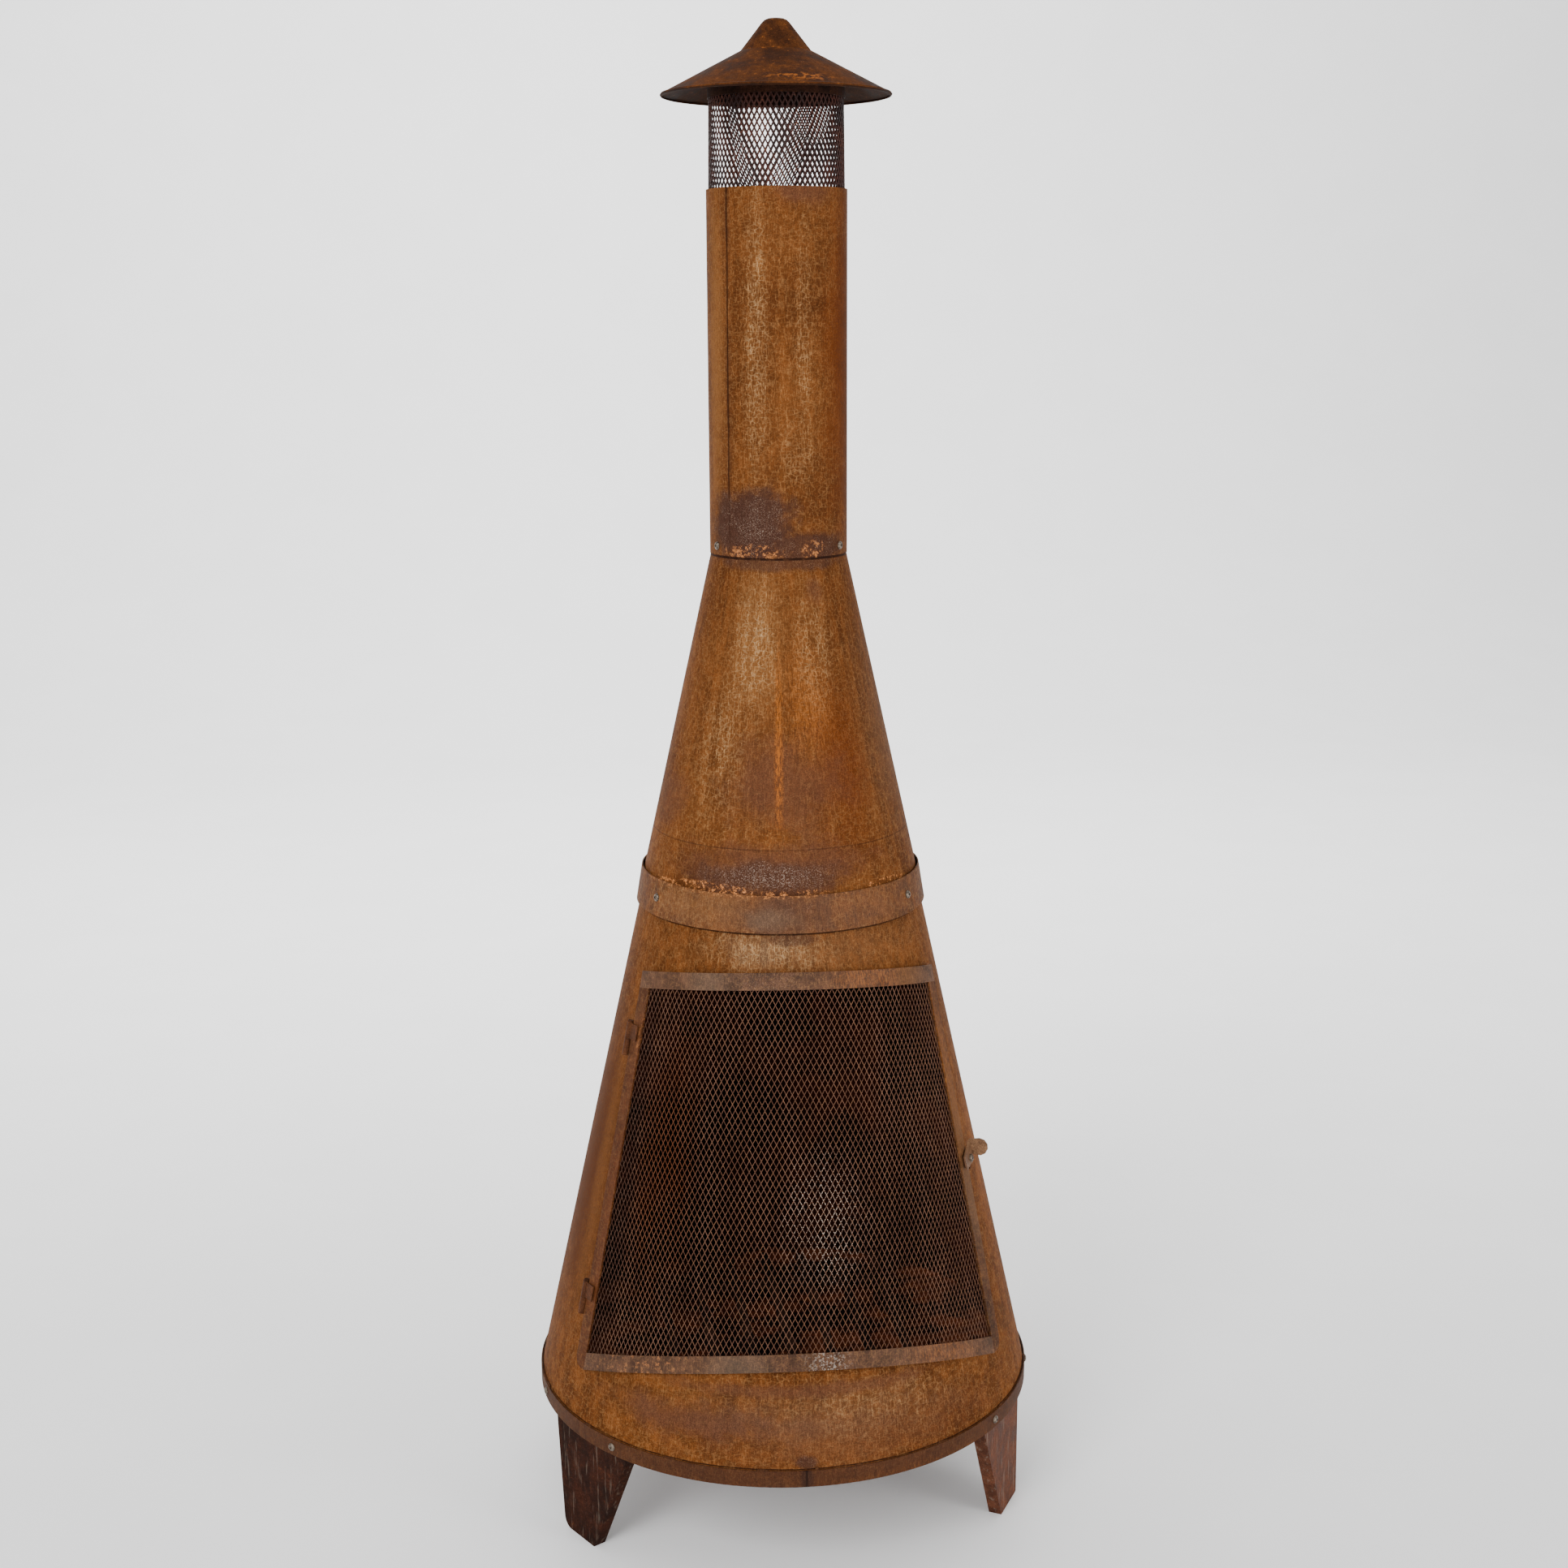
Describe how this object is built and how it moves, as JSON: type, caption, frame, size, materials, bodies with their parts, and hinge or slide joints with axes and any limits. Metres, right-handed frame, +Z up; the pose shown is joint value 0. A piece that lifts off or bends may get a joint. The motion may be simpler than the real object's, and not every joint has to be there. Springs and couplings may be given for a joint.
{
  "type": "chiminea",
  "caption": "Free-standing steel chiminea: cone firebox on three legs, flue with spark mesh and rain cap, hinged mesh door with lift latch.",
  "frame": {"origin": "on the ground under the axis of the flue", "axes": "+Z up along the flue's axis, the door faces -Y, +X is to the right of the door"},
  "size_m": [0.6129, 0.613, 1.778],
  "materials": {
    "rust": "rusted steel sheet, matte with fine vertical streaks",
    "dark_rust": "dark brown rust, matte",
    "frame_rust": "dark rust with orange chips, slightly burnished",
    "mesh_brown": "dark brown expanded steel mesh",
    "leg_brown": "dark chocolate rust with light scuffs",
    "grate_iron": "sooty iron",
    "fasteners": "weathered steel screws"
  },
  "bodies": {
    "chiminea_body": {"flue_pipe": "rust", "upper_cone": "rust", "mid_band": "rust", "lower_cone": "rust", "base_ring": "rust", "cap_rest_lugs": "dark_rust", "fire_pan": "dark_rust", "hinge_body_leaves": "dark_rust", "latch_keeper": "dark_rust", "leg_front_left": "leg_brown", "leg_front_right": "leg_brown", "leg_rear": "leg_brown", "log_grate_bars": "grate_iron", "log_grate_rails": "grate_iron", "flue_screws": "fasteners", "flue_nuts": "fasteners", "band_screws": "fasteners", "band_nuts": "fasteners", "leg_screws": "fasteners", "leg_nuts": "fasteners", "hinge_pins": "fasteners"},
    "door": {"hinge_door_leaves": "dark_rust", "door_top_strip": "frame_rust", "door_bottom_strip": "frame_rust", "door_left_strip": "frame_rust", "door_right_strip": "frame_rust", "door_mesh": "mesh_brown", "latch_plate": "dark_rust", "latch_screw": "fasteners", "latch_nut": "fasteners"},
    "latch": {"latch_lever": "frame_rust"},
    "cap": {"rain_cap": "rust", "cap_collar": "dark_rust", "spark_mesh": "mesh_brown", "mesh_foot_ring": "dark_rust"}
  },
  "joints": [
    {"name": "door_hinge", "type": "hinge", "parent": "chiminea_body", "child": "door", "pos_m": [-0.25427, -0.11427, 0.308], "axis": [-0.1919, -0.1064, -0.9756], "range_deg": [0, 110]},
    {"name": "latch_pivot", "type": "hinge", "parent": "door", "child": "latch", "pos_m": [0.20401, -0.12306, 0.46], "axis": [0.8356, -0.5041, 0.2184], "range_deg": [-22, 45]},
    {"name": "cap_lift", "type": "slide", "parent": "chiminea_body", "child": "cap", "axis": [0, 0, 1], "range_m": [0, 0.045]}
  ]
}
